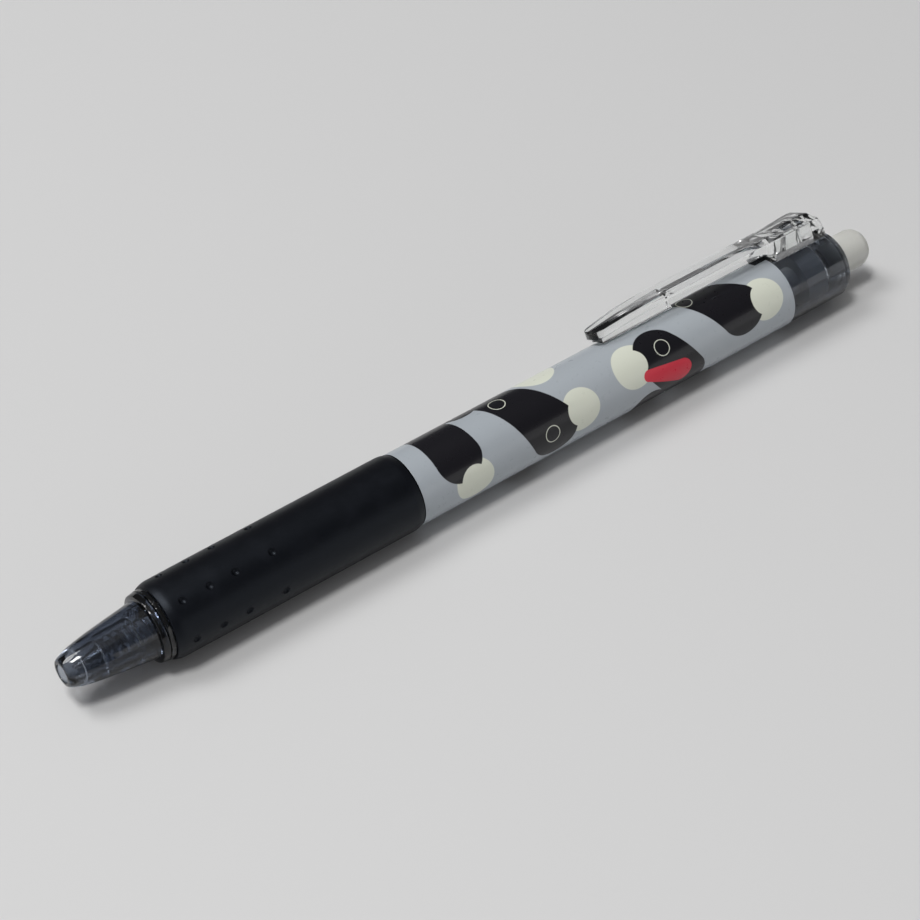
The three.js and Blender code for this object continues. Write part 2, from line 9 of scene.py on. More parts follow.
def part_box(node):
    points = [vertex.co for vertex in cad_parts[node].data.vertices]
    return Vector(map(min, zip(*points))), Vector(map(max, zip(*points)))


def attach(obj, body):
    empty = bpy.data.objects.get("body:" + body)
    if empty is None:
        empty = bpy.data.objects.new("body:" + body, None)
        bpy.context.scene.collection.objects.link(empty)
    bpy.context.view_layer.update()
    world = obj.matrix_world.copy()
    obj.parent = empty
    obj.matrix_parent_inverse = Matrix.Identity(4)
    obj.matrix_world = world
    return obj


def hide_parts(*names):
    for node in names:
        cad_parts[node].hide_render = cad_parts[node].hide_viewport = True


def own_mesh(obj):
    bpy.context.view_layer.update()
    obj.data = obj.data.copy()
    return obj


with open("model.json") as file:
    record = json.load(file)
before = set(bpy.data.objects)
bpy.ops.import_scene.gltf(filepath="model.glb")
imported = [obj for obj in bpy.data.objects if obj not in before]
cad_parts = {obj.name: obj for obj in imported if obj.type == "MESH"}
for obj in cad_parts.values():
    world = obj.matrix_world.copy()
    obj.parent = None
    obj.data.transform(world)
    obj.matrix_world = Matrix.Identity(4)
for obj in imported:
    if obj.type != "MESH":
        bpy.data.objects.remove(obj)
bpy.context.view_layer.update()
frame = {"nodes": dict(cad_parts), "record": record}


# ---- The shot -----------------------------------------------------------------------
# The pen lies on a plain pale table and is seen from over its near side, tip towards
# the lower left, through a long lens.

MM = 0.001
TIP_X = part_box("tip_cone")[0][0]
barrel_low, barrel_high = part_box("barrel")
AXIS_Z = (barrel_low[2] + barrel_high[2]) / 2

AIM = Vector((TIP_X + 64.15 * MM, -0.1 * MM, AXIS_Z))
VIEW_AZIMUTH = math.radians(-38.15)
VIEW_ELEVATION = math.radians(43.39)
VIEW_DISTANCE = 339.7 * MM

back = Vector((
    math.sin(VIEW_AZIMUTH) * math.cos(VIEW_ELEVATION),
    -math.cos(VIEW_AZIMUTH) * math.cos(VIEW_ELEVATION),
    math.sin(VIEW_ELEVATION)))
camera = bpy.data.objects.new("camera", bpy.data.cameras.new("camera"))
camera.data.lens = 95.95
camera.data.sensor_width = 36
camera.data.clip_start = 0.01
camera.location = AIM + back * VIEW_DISTANCE
camera.rotation_euler = back.to_track_quat("Z", "Y").to_euler()
bpy.context.scene.collection.objects.link(camera)
bpy.context.scene.camera = camera
bpy.context.scene.view_settings.view_transform = "Standard"

world = bpy.data.worlds.new("room")
world.use_nodes = True
sky = world.node_tree
upward = sky.nodes.new("ShaderNodeSeparateXYZ")
sky.links.new(sky.nodes.new("ShaderNodeTexCoord").outputs["Generated"], upward.inputs[0])
ramp = sky.nodes.new("ShaderNodeValToRGB")
ramp.color_ramp.elements[0].position = 0.05
ramp.color_ramp.elements[0].color = (0.08, 0.08, 0.085, 1)
ramp.color_ramp.elements[1].position = 0.9
ramp.color_ramp.elements[1].color = (0.20, 0.20, 0.205, 1)
sky.links.new(upward.outputs["Z"], ramp.inputs["Fac"])
sky.links.new(ramp.outputs["Color"], sky.nodes["Background"].inputs["Color"])
bpy.context.scene.world = world


def softbox(name, direction, distance, size, power, colour):
    """A rectangular area light out along a direction, turned to face the pen."""
    lamp = bpy.data.lights.new(name, "AREA")
    lamp.shape = "RECTANGLE"
    lamp.size, lamp.size_y = size
    lamp.energy = power
    lamp.color = colour
    obj = bpy.data.objects.new(name, lamp)
    way = Vector(direction).normalized()
    obj.location = AIM + way * distance
    obj.rotation_euler = way.to_track_quat("Z", "Y").to_euler()
    bpy.context.scene.collection.objects.link(obj)


# A lamp hangs over the pen, the window is behind it to the left, and pale walls stand
# low in front and to the left.
softbox("lamp", (-0.3, -0.04, 1.0), 1.2, (0.26, 0.26), 6.3, (1.0, 0.995, 0.985))
softbox("window", (-0.4, 0.5, 1.0), 1.3, (0.5, 0.5), 6.5, (1.0, 1.0, 1.0))
softbox("ceiling", (-0.3, 0.1, 1.0), 1.5, (1.6, 1.6), 2.3, (1.0, 1.0, 1.0))
softbox("pale_wall", (0.45, -0.88, 0.16), 0.9, (0.9, 0.4), 1.0, (1.0, 1.0, 1.0))
softbox("left_wall", (-1.0, -0.25, 0.14), 0.9, (0.9, 0.3), 0.8, (1.0, 1.0, 1.0))


# ---- Finishes -----------------------------------------------------------------------
# Every finish is a node material. Sums of Paint values add the Math nodes they need,
# and any other node comes from Paint.node.

class Paint:
    """A socket in a material's node graph, in millimetres where it is a length."""

    def __init__(self, tree, socket=None):
        self.tree = tree
        self.socket = socket

    def node(self, kind, settings=None, sockets=None, out=0):
        made = self.tree.nodes.new(kind)
        for key, value in (settings or {}).items():
            if key == "stops":
                ramp = made.color_ramp
                while len(ramp.elements) < len(value):
                    ramp.elements.new(0.5)
                for element, (position, colour) in zip(ramp.elements, value):
                    element.position, element.color = position, colour
            else:
                setattr(made, key, value)
        for key, value in (sockets or {}).items():
            if isinstance(value, Paint):
                self.tree.links.new(value.socket, made.inputs[key])
            else:
                made.inputs[key].default_value = value
        return Paint(self.tree, made.outputs[out])

    def sum(self, operation, *values, clamp=False):
        sockets = dict(enumerate(values))
        return self.node("ShaderNodeMath", {"operation": operation, "use_clamp": clamp}, sockets)

    def __add__(self, other): return self.sum("ADD", self, other)
    def __radd__(self, other): return self.sum("ADD", other, self)
    def __sub__(self, other): return self.sum("SUBTRACT", self, other)
    def __rsub__(self, other): return self.sum("SUBTRACT", other, self)
    def __mul__(self, other): return self.sum("MULTIPLY", self, other)
    def __rmul__(self, other): return self.sum("MULTIPLY", other, self)
    def __truediv__(self, other): return self.sum("DIVIDE", self, other)

    def noise(self, scale, detail=3, rough=0.5):
        """Smooth random value about 0.5 at a place; scale is blobs per millimetre."""
        return self.node(
            "ShaderNodeTexNoise", {},
            {"Vector": self, "Scale": scale / MM, "Detail": detail, "Roughness": rough})

    def between(self, low, high):
        """0 below low and 1 above high, smooth in between."""
        return self.node(
            "ShaderNodeMapRange", {"interpolation_type": "SMOOTHSTEP"},
            {"Value": self, "From Min": low, "From Max": high})

    def bump(self, height, depth):
        """A normal from a height signal whose full step is depth millimetres."""
        return self.node(
            "ShaderNodeBump", {}, {"Strength": 1.0, "Distance": depth * MM, "Height": height},
            out="Normal")


def shade(red, green, blue):
    """A screen colour, 0 to 255, as the light it stands for."""
    values = [value / 255 for value in (red, green, blue)]
    return tuple(v / 12.92 if v < 0.04045 else ((v + 0.055) / 1.055) ** 2.4 for v in values) + (1,)


def finish(name, **constants):
    """A new material with fixed shader values, and its Object coordinates."""
    made = bpy.data.materials.new(name)
    made.use_nodes = True
    shader = made.node_tree.nodes["Principled BSDF"]
    for socket, value in constants.items():
        shader.inputs[socket.replace("_", " ")].default_value = value
    return made, Paint(made.node_tree).node("ShaderNodeTexCoord", out="Object")


def feed(made, **signals):
    """Links signals that vary over the surface to the shader."""
    shader = made.node_tree.nodes["Principled BSDF"]
    for socket, signal in signals.items():
        made.node_tree.links.new(signal.socket, shader.inputs[socket.replace("_", " ")])


def blend(mask, first, second):
    """Colour that goes from first to second as the mask goes from 0 to 1."""
    return mask.node(
        "ShaderNodeMix", {"data_type": "RGBA", "clamp_factor": True},
        {"Factor": mask, 6: first, 7: second}, out=2)


# ---- Table --------------------------------------------------------------------------
# A smooth pale sheet, much larger than the pen, with the faintest unevenness.

floor_mesh = bmesh.new()
bmesh.ops.create_grid(floor_mesh, x_segments=1, y_segments=1, size=3)
floor_data = bpy.data.meshes.new("table")
floor_mesh.to_mesh(floor_data)
floor_mesh.free()
floor = bpy.data.objects.new("table", floor_data)
bpy.context.scene.collection.objects.link(floor)
table_paint, place = finish("table_sheet", Roughness=0.55, Specular_IOR_Level=0.3)
feed(table_paint, Base_Color=blend(
    place.noise(0.004, detail=2), shade(206, 206, 206), shade(213, 213, 213)))
floor_data.materials.append(table_paint)


# ---- How the pieces are made --------------------------------------------------------
# Pieces are shaped about the pen's own axis in millimetres: X is the distance from the
# tip's face, and Z points at the clip. Then they are laid down in the frame.

flex = next(j for j in frame["record"]["behaviour"]["joints"] if j["name"] == "clip_flex")
ROLL = math.atan2(-flex["axis"][2], flex["axis"][1])
LAY = (Matrix.Translation((TIP_X, 0, AXIS_Z))
       @ Matrix.Rotation(-ROLL, 4, "X") @ Matrix.Scale(MM, 4))


def softened(outline):
    """An outline of (x, y) or (x, y, round) points with its corners rounded."""
    points = []
    count = len(outline)
    for i, (x, y, *soft) in enumerate(outline):
        corner = Vector((x, y))
        if not soft:
            points.append(corner)
            continue
        before = Vector(outline[i - 1][:2]) - corner
        after = Vector(outline[(i + 1) % count][:2]) - corner
        start = corner + before.normalized() * min(soft[0], before.length / 2)
        end = corner + after.normalized() * min(soft[0], after.length / 2)
        for step in range(6):
            t = step / 5
            points.append(start * (1 - t) ** 2 + corner * 2 * t * (1 - t) + end * t ** 2)
    return points


def turned(outline, closed=True, steps=96):
    """A solid spun about the axis from an outline of (station, radius, round) points."""
    made = bmesh.new()
    corners = [made.verts.new((p.x, 0, p.y)) for p in softened(outline)]
    for first, second in zip(corners, corners[1:]):
        made.edges.new((first, second))
    if closed:
        made.edges.new((corners[-1], corners[0]))
    bmesh.ops.spin(
        made, geom=made.verts[:] + made.edges[:], cent=(0, 0, 0), axis=(1, 0, 0),
        angle=2 * math.pi, steps=steps, use_merge=True)
    bmesh.ops.remove_doubles(made, verts=made.verts, dist=1e-4)
    bmesh.ops.recalc_face_normals(made, faces=made.faces)
    return made


def plate(outline, low, high, axis="Y"):
    """A flat outline given a thickness from low to high along Y or Z."""
    made = bmesh.new()
    points = softened(outline)
    if axis == "Y":
        corners = [made.verts.new((p.x, low, p.y)) for p in points]
        push = (0, high - low, 0)
    else:
        corners = [made.verts.new((p.x, p.y, low)) for p in points]
        push = (0, 0, high - low)
    face = made.faces.new(corners)
    pushed = bmesh.ops.extrude_face_region(made, geom=[face])
    moved = [v for v in pushed["geom"] if isinstance(v, bmesh.types.BMVert)]
    bmesh.ops.translate(made, vec=push, verts=moved)
    bmesh.ops.recalc_face_normals(made, faces=made.faces)
    return made


def box(low, high):
    made = bmesh.new()
    size = Vector(high) - Vector(low)
    middle = (Vector(high) + Vector(low)) / 2
    bmesh.ops.create_cube(
        made, size=1, matrix=Matrix.Translation(middle) @ Matrix.Diagonal((*size, 1)))
    return made


def combined(body, other, how="DIFFERENCE"):
    """One solid cut from, joined to or crossed with another. Both are used up."""
    work = []
    for shape in (body, other):
        data = bpy.data.meshes.new("work")
        shape.to_mesh(data)
        shape.free()
        obj = bpy.data.objects.new("work", data)
        bpy.context.scene.collection.objects.link(obj)
        work.append(obj)
    cutter = work[0].modifiers.new("cut", "BOOLEAN")
    cutter.operation, cutter.object, cutter.solver = how, work[1], "EXACT"
    made = bmesh.new()
    made.from_object(work[0], bpy.context.evaluated_depsgraph_get())
    for obj in work:
        data = obj.data
        bpy.data.objects.remove(obj)
        bpy.data.meshes.remove(data)
    return made


def eased(body, width, angle=30, segments=2):
    """Edges sharper than an angle, given a small round."""
    bmesh.ops.remove_doubles(body, verts=body.verts, dist=1e-3)
    bmesh.ops.dissolve_limit(
        body, angle_limit=math.radians(0.5), verts=body.verts, edges=body.edges)
    sharp = [e for e in body.edges if e.calc_face_angle(0) > math.radians(angle)]
    bmesh.ops.bevel(
        body, geom=sharp, offset=width, segments=segments, profile=0.5,
        affect="EDGES", material=-1, clamp_overlap=True)
    return body


def piece(name, body, made, rides, stands_for=(), sharp=32):
    """Lays a shape down in the frame as a named object with its finish and its body."""
    for edge in body.edges:
        edge.smooth = edge.calc_face_angle(0) < math.radians(sharp)
    for face in body.faces:
        face.smooth = True
    bmesh.ops.transform(body, matrix=LAY, verts=body.verts)
    data = bpy.data.meshes.new(name)
    body.to_mesh(data)
    body.free()
    data.materials.append(made)
    obj = bpy.data.objects.new(name, data)
    bpy.context.scene.collection.objects.link(obj)
    if stands_for:
        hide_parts(*stands_for)
    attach(obj, rides)
    return obj


# ---- Smoke plastic ------------------------------------------------------------------
# The cone and the barrel are moulded in a see-through blue-grey plastic with a high
# polish. Flow in the mould leaves its tint slightly uneven, and the top of the skin is
# given a lighter tint than its underside as painted light.

def smoke(name, tint, rough, core, slope, limit):
    """The tint sits on the outer skin: inside core + slope * station, up to a limit,
    it is clear."""
    made, where = finish(
        name, Transmission_Weight=1.0, IOR=1.49, Specular_IOR_Level=0.5)
    flow = where.noise(0.25, detail=2)
    light = tuple(c * 1.15 for c in tint[:3]) + (1,)
    split = where.node("ShaderNodeSeparateXYZ", {}, {"Vector": where}).socket.node
    x, y, z = (Paint(made.node_tree, split.outputs[axis]) for axis in "XYZ")
    station = (x - TIP_X) * (1 / MM)
    height = z - AXIS_Z
    radius = (y * y + height * height).sum("SQRT", y * y + height * height) * (1 / MM)
    edge = core + station * slope
    inner = 1 - (radius - edge.sum("MINIMUM", edge, limit)).between(-0.02, 0.02)
    thin = tuple(c ** 0.45 for c in tint[:3]) + (1,)
    # Painted light: the outer skin's tint is lighter on the upper side than on the underside, fading
    # over a band about the axis, so more of the overhead lamp's glints show through the top.
    painted_light_top_tint = tuple(c ** 0.8 for c in tint[:3]) + (1,)
    shell = blend(height.between(-1.5 * MM, 3 * MM), blend(flow, tint, light), painted_light_top_tint)
    outer = blend(station.between(1.0, 4.2), thin, shell)
    feed(made, Base_Color=blend(inner, outer, (0.96, 0.97, 0.98, 1)),
         Roughness=rough + 0.04 * where.noise(0.8))
    return made


smoke_cone = smoke("smoke_cone", (0.036, 0.047, 0.072, 1), 0.01, 1.75, 0.17, 3.5)
smoke_barrel = smoke("smoke_barrel", (0.07, 0.082, 0.105, 1), 0.02, 4.9, 0, 4.9)


# ---- Tip cone -----------------------------------------------------------------------
# A one-piece nose that unscrews from the barrel: flat annular tip face, swelling sides,
# a small flange at the back, and a spring chamber inside.

CONE_LENGTH = 13.3
SKIRT_END = 12.35
TIP_R = 1.9
NECK_R = 4.9


def cone_radius(x):
    """Outside radius of the cone: a quick flare behind the tip face, then straighter."""
    return TIP_R + 0.75 * (1 - math.exp(-x / 1.7)) + (NECK_R - TIP_R - 1.5) * x / 12.5


side = [(x, cone_radius(x)) for x in [0.5 + 11.85 * i / 22 for i in range(23)]]
piece("tip_cone_shell", turned([
    (0, 1.36, 0.12), (0, TIP_R, 0.35), *side,
    (SKIRT_END + 0.1, 4.85, 0.12), (CONE_LENGTH, 5.02, 0.12),
    (CONE_LENGTH, 3.95), (19.6, 3.85), (19.6, 3.25), (10.3, 3.25, 0.2),
    (10.3, 2.3, 0.15), (5.3, 2.3, 0.1), (5.3, 1.7, 0.1), (2.6, 1.7, 0.1), (2.6, 1.36, 0.08),
]), smoke_cone, "cone", ["tip_cone"])


# ---- Barrel -------------------------------------------------------------------------
# One long smoke tube: a lip that shows in front of the grip, a thinner neck under the
# grip, and the full body, slotted at the tail for the clip's foot. Most of the body is
# printed, and the print is a skin of its own that ends before the tail.

GRIP_FRONT = 14.2
GRIP_REAR = 54.0
BARREL_R = 5.45
BORE_R = 4.3
BARREL_END = 134.1
PRINT_END = 123.0
SLOT_FRONT = 120.3

tube = turned([
    (13.42, BORE_R), (13.42, 5.05, 0.15), (14.1, 5.05, 0.1), (14.1, 4.88),
    (GRIP_REAR + 0.1, 4.88), (GRIP_REAR + 0.1, BARREL_R - 0.03),
    (BARREL_END, BARREL_R - 0.03, 0.15), (BARREL_END, BORE_R),
])
tube = combined(tube, box((SLOT_FRONT, -1.5, 2), (BARREL_END + 1, 1.5, 8)))
piece("barrel_tube", tube, smoke_barrel, "barrel", ["barrel"])


class Motif:
    """The print's pebbles, on a sheet unrolled from the barrel: along is millimetres
    towards the tail and around is millimetres from the top towards the near side."""

    def __init__(self, along, around, period, girth):
        self.along, self.around = along, around
        self.period, self.girth = period, girth

    def local(self, along, around):
        """Distances to the nearest repeat of a spot, along and around."""
        a = self.along - along + self.period / 2
        b = self.around - around + self.girth / 2
        half = self.period / 2
        return (a.sum("FLOORED_MODULO", a, self.period) - half,
                b.sum("FLOORED_MODULO", b, self.girth) - self.girth / 2)


def pebble(spot, start, end, start_r, end_r):
    """Distance outside a tapered pebble that runs from start to end."""
    a, b = spot
    run = (end[0] - start[0], end[1] - start[1])
    length = run[0] ** 2 + run[1] ** 2
    da, db = a - start[0], b - start[1]
    share = (da * run[0] + db * run[1]).sum("DIVIDE", da * run[0] + db * run[1], length, clamp=True)
    ea, eb = da - share * run[0], db - share * run[1]
    reach = (ea * ea + eb * eb).sum("SQRT", ea * ea + eb * eb)
    return reach - (start_r + share * (end_r - start_r))


def disc(spot, centre, radius):
    """Distance outside a round spot."""
    da, db = spot[0] - centre[0], spot[1] - centre[1]
    return da.sum("SQRT", da * da + db * db) - radius


def inside(distance, soft=0.05):
    return 1 - distance.between(-soft, soft)


GIRTH = 2 * math.pi * BARREL_R
PRINT_LENGTH = PRINT_END - GRIP_REAR
print_paint, place = finish(
    "printed_skin", Coat_Weight=0.2, Coat_Roughness=0.05, Specular_IOR_Level=0.3)
parts = place.node("ShaderNodeSeparateXYZ", {}, {"Vector": place}, out="X").socket.node
x_of = Paint(print_paint.node_tree, parts.outputs["X"])
y_of = Paint(print_paint.node_tree, parts.outputs["Y"])
z_of = Paint(print_paint.node_tree, parts.outputs["Z"])
along = (x_of - TIP_X) * (1 / MM)
around = (0 - y_of).sum("ARCTAN2", 0 - y_of, z_of - AXIS_Z) * BARREL_R
sheet = Motif(along, around, PRINT_LENGTH, GIRTH)

INK_BLACK = shade(15, 14, 20)
INK_CREAM = shade(214, 217, 203)
INK_RED = shade(206, 34, 58)
INK_GROUND = shade(158, 165, 172)
INK_PALE = shade(170, 176, 181)

# Plain discs and slanted pebbles, as (start, end, radii); the far side repeats the near
# side half a sheet further on and half way round.
DISCS = (((62.8, 7.6), 3.2), ((82.2, 5.8), 3.2), ((92.7, 3.8), 3.4), ((118.0, 4.2), 3.3))
PEBBLES = (
    ((60.4, -6.4), (61.4, 3.4), 3.2, 3.7),
    ((71.0, -4.6), (77.0, 6.6), 3.0, 4.1),
    ((97.4, 4.0), (101.4, 9.6), 4.0, 3.7),
    ((107.4, -3.8), (113.2, 3.6), 3.0, 4.2))
HOOPS = ((71.6, -1.2), (76.6, 7.0), (98.4, 3.4), (106.8, -1.6))
colour = blend(place.noise(0.02, detail=1), INK_GROUND, INK_PALE)
colour = blend(inside(disc(sheet.local(79.8, -3.9), (0, 0), 3.4)), colour, INK_CREAM)
for far in (0, 1):
    shift = Vector((PRINT_LENGTH / 2, GIRTH / 2 + 1.6)) * far
    for centre, radius in DISCS:
        spot = sheet.local(*(Vector(centre) + shift))
        colour = blend(inside(disc(spot, (0, 0), radius)), colour, INK_CREAM)
    for start, end, start_r, end_r in PEBBLES:
        run = Vector(end) - Vector(start)
        spot = sheet.local(*(Vector(start) + shift))
        mask = inside(pebble(spot, (0, 0), run, start_r, end_r))
        colour = blend(mask, colour, INK_BLACK)
    for centre, radius in DISCS:
        spot = sheet.local(*(Vector(centre) + shift))
        colour = blend(inside(disc(spot, (0, 0), radius * 0.72)), colour, INK_CREAM)
    for centre in HOOPS:
        spot = sheet.local(*(Vector(centre) + shift))
        hoop = disc(spot, (0, 0), 1.2)
        colour = blend(inside(hoop.sum("ABSOLUTE", hoop) - 0.06), colour, INK_CREAM)
accent = sheet.local(94.6, 6.2)
colour = blend(inside(pebble(accent, (0, 0), (6.0, 1.8), 0.9, 1.8)), colour, INK_RED)
speck = place.noise(6.0, detail=2)
feed(print_paint,
     Base_Color=colour,
     Roughness=0.24 + 0.1 * place.noise(1.2),
     Normal=speck.bump(speck, 0.004))
skin = turned([
    (GRIP_REAR + 0.12, BARREL_R - 0.028), (GRIP_REAR + 0.12, BARREL_R + 0.02, 0.03),
    (PRINT_END, BARREL_R + 0.02, 0.03), (PRINT_END, BARREL_R - 0.028),
], steps=128)
skin = combined(skin, box((SLOT_FRONT + 0.5, -1.35, 2), (PRINT_END + 1, 1.35, 8)))
piece("barrel_print", skin, print_paint, "barrel")


# ---- Grip ---------------------------------------------------------------------------
# A soft black rubber sleeve pushed over the neck, rounded at the front and bevelled at
# the back, with six rows of four small pits that start near the front.

GRIP_R = 5.7
PIT_STATIONS = (16.9, 21.1, 25.1, 30.9)
PIT_R = 0.58
PIT_DEPTH = 0.34

sleeve = turned([
    (GRIP_FRONT, 4.95), (GRIP_FRONT, 5.28, 0.12), (GRIP_FRONT + 0.9, 5.58, 0.5),
    (GRIP_FRONT + 8, 5.63), (GRIP_REAR - 1.0, GRIP_R - 0.01, 0.3),
    (GRIP_REAR, 5.45, 0.12), (GRIP_REAR, 4.95),
], steps=120)
pits = bmesh.new()
ball_r = (PIT_R ** 2 + PIT_DEPTH ** 2) / (2 * PIT_DEPTH)
for row in range(6):
    turn = Matrix.Rotation(row * math.pi / 3, 4, "X")
    for station in PIT_STATIONS:
        where = Matrix.Translation((station, 0, 5.62 + ball_r - PIT_DEPTH))
        bmesh.ops.create_uvsphere(
            pits, u_segments=20, v_segments=14, radius=ball_r, matrix=turn @ where)
sleeve = combined(sleeve, pits)
rubber, place = finish(
    "grip_rubber", Specular_IOR_Level=0.24, Specular_Tint=(0.75, 0.85, 1.0, 1))
grain = place.noise(9.0, detail=4, rough=0.6)
dust = place.noise(0.35, detail=4).between(0.45, 0.75)
feed(rubber,
     Base_Color=blend(dust, shade(5, 6, 10), shade(10, 11, 16)),
     Roughness=0.34 + 0.12 * grain + 0.05 * dust,
     Normal=grain.bump(grain, 0.02))
piece("grip", sleeve, rubber, "barrel", ["grip_sleeve"], sharp=40)


# ---- Spring -------------------------------------------------------------------------
# Bright steel wire wound about the nib holder, its end turns closed up. In the pen it is
# squeezed towards the cone as the refill comes forward; here it is one fixed coil that
# rides with the barrel.

SPRING_FRONT = 5.45
SPRING_R = 2.0
WIRE_R = 0.19
OPEN_TURNS = 7

spring = bmesh.new()
start = Matrix.Translation((SPRING_FRONT + WIRE_R, 0, SPRING_R - WIRE_R))
bmesh.ops.create_circle(spring, cap_ends=True, segments=10, radius=WIRE_R, matrix=start)
end_face = list(spring.faces)
for turns, rise in ((1, 0.42), (OPEN_TURNS, 8.7), (1, 0.42)):
    steps = 28 * turns
    wound = bmesh.ops.spin(
        spring, geom=end_face, cent=(0, 0, 0), axis=(1, 0, 0),
        dvec=(rise / steps, 0, 0), angle=2 * math.pi * turns, steps=steps)
    end_face = [f for f in wound["geom_last"] if isinstance(f, bmesh.types.BMFace)]
bmesh.ops.remove_doubles(spring, verts=spring.verts, dist=1e-5)
bmesh.ops.recalc_face_normals(spring, faces=spring.faces)
steel, place = finish("spring_steel", Metallic=1.0)
draw = place.noise(3.0, detail=3)
feed(steel, Base_Color=blend(draw, shade(205, 206, 210), shade(232, 232, 234)),
     Roughness=0.2 + 0.1 * draw)
coil = piece("spring_coil", spring, steel, "barrel", ["return_spring"])
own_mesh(coil)


# ---- Nib and its holder -------------------------------------------------------------
# A turned metal point with a writing ball, pressed into a moulded holder whose shoulder
# the spring pushes on.

metal, place = finish("nib_metal", Metallic=1.0)
turning = place.node("ShaderNodeMapping", {}, {"Vector": place, "Scale": (1, 0.02, 0.02)}).noise(9.0)
feed(metal, Base_Color=blend(turning, shade(196, 196, 198), shade(222, 221, 218)),
     Roughness=0.16 + 0.16 * turning, Normal=turning.bump(turning, 0.006))
piece("nib_point", turned([
    (2.2, 0.29), (2.2, 0.37, 0.03), (3.1, 0.52), (5.3, 1.15, 0.25), (9.0, 1.15, 0.08),
    (9.0, 0.8), (11.7, 0.8, 0.05), (11.7, 0.29),
], steps=48), metal, "refill", ["nib"])

ball = bmesh.new()
bmesh.ops.create_uvsphere(
    ball, u_segments=24, v_segments=16, radius=0.25, matrix=Matrix.Translation((2.3, 0, 0)))
carbide, place = finish("ball_carbide", Metallic=1.0)
polish = place.noise(20.0, detail=2)
feed(carbide, Base_Color=blend(polish, shade(150, 152, 156), shade(170, 171, 175)),
     Roughness=0.08 + 0.08 * polish)
piece("writing_ball", ball, carbide, "refill", ["nib_ball"])


def moulded(name, dark, light, rough):
    """Satin moulded plastic with a faint flow and a fine spark-eroded grain."""
    made, where = finish(name, Specular_IOR_Level=0.45, Subsurface_Weight=0.08,
                         Subsurface_Radius=(0.001, 0.001, 0.001))
    grain = where.noise(14.0, detail=3)
    feed(made, Base_Color=blend(where.noise(0.3), dark, light),
         Roughness=rough + 0.12 * grain, Normal=grain.bump(grain, 0.008))
    return made


acetal = moulded("moulded_acetal", shade(196, 199, 203), shade(212, 214, 216), 0.34)
guide_acetal = moulded("guide_acetal", shade(92, 98, 108), shade(106, 112, 121), 0.36)
piece("nib_holder_body", turned([
    (9.3, 0.9), (9.3, 1.4, 0.15), (15.7, 1.4), (15.7, 2.05, 0.08), (16.4, 2.05),
    (16.4, 2.9, 0.12), (17.1, 2.9), (17.1, 2.35), (22.4, 2.35, 0.2), (22.4, 0.9),
], steps=64), acetal, "refill", ["nib_holder"])


# ---- Refill -------------------------------------------------------------------------
# A milky tube with black gel ink behind the holder, a plug of clear grease behind the
# ink, and a moulded plug that closes the end.

tube_paint, place = finish(
    "refill_tube", Transmission_Weight=0.7, IOR=1.49, Specular_IOR_Level=0.5)
cloud = place.noise(0.4, detail=2)
feed(tube_paint, Base_Color=blend(cloud, shade(216, 220, 222), shade(232, 234, 235)),
     Roughness=0.22 + 0.12 * cloud)
ink_paint, place = finish("gel_ink", Specular_IOR_Level=0.6)
swirl = place.noise(0.3, detail=3)
feed(ink_paint, Base_Color=blend(swirl, shade(10, 10, 14), shade(20, 20, 27)),
     Roughness=0.16 + 0.1 * swirl)
grease_paint, place = finish("follower_grease", Transmission_Weight=0.8, IOR=1.46)
swirl = place.noise(0.5, detail=2)
feed(grease_paint, Base_Color=blend(swirl, shade(214, 198, 140), shade(226, 214, 164)),
     Roughness=0.1 + 0.1 * swirl)
for node, paint in (
        ("refill_tube", tube_paint), ("ink_column", ink_paint),
        ("ink_follower", grease_paint), ("refill_end_plug", acetal),
        ("rotor_cam", acetal), ("cam_guide", guide_acetal), ("knock_cam", acetal)):
    obj = frame["nodes"][node]
    if not obj.data.materials:
        obj.data.materials.append(paint)
    obj.material_slots[0].material = paint


# ---- Tail plug and eraser -----------------------------------------------------------
# A clear plug is pushed into the barrel's end. Its ring closes the tube and its socket
# holds a domed eraser of frosty white rubber.

def clear(name, tint, rough, edge_shade):
    """Glass-clear plastic with a painted dark outline: its colour goes towards the last colour given
    where it is seen edge-on, painted shade for the dark refractions at its silhouette.
    """
    made, where = finish(name, Transmission_Weight=1.0, IOR=1.52, Specular_IOR_Level=0.5)
    ripple = where.noise(0.25, detail=2)
    whiter = tuple(min(1.0, c * 1.02) for c in tint[:3]) + (1,)
    # Painted shade: the colour darkens where the surface turns edge-on to the view.
    edge_on = where.node("ShaderNodeLayerWeight", {}, {"Blend": 0.5}, out="Facing")
    body = blend(ripple, tint, whiter)
    feed(made, Base_Color=blend(edge_on.between(0.88, 1.0), body, edge_shade),
         Roughness=rough + 0.015 * ripple)
    return made


PLUG_FRONT = 131.0
# The last colour is the painted dark outline where the plug is seen edge-on.
clear_plug = clear("clear_plug", (0.80, 0.83, 0.86, 1), 0.02, (0.2, 0.22, 0.24, 1))
piece("tail_ring", turned([
    (PLUG_FRONT, 0), (PLUG_FRONT, 4.0, 0.2), (134.25, 4.0), (134.25, 5.02, 0.1),
    (135.0, 4.95, 0.25), (135.0, 2.6, 0.15), (131.8, 2.6), (131.8, 0),
], closed=False), clear_plug, "barrel", ["tail_plug"])

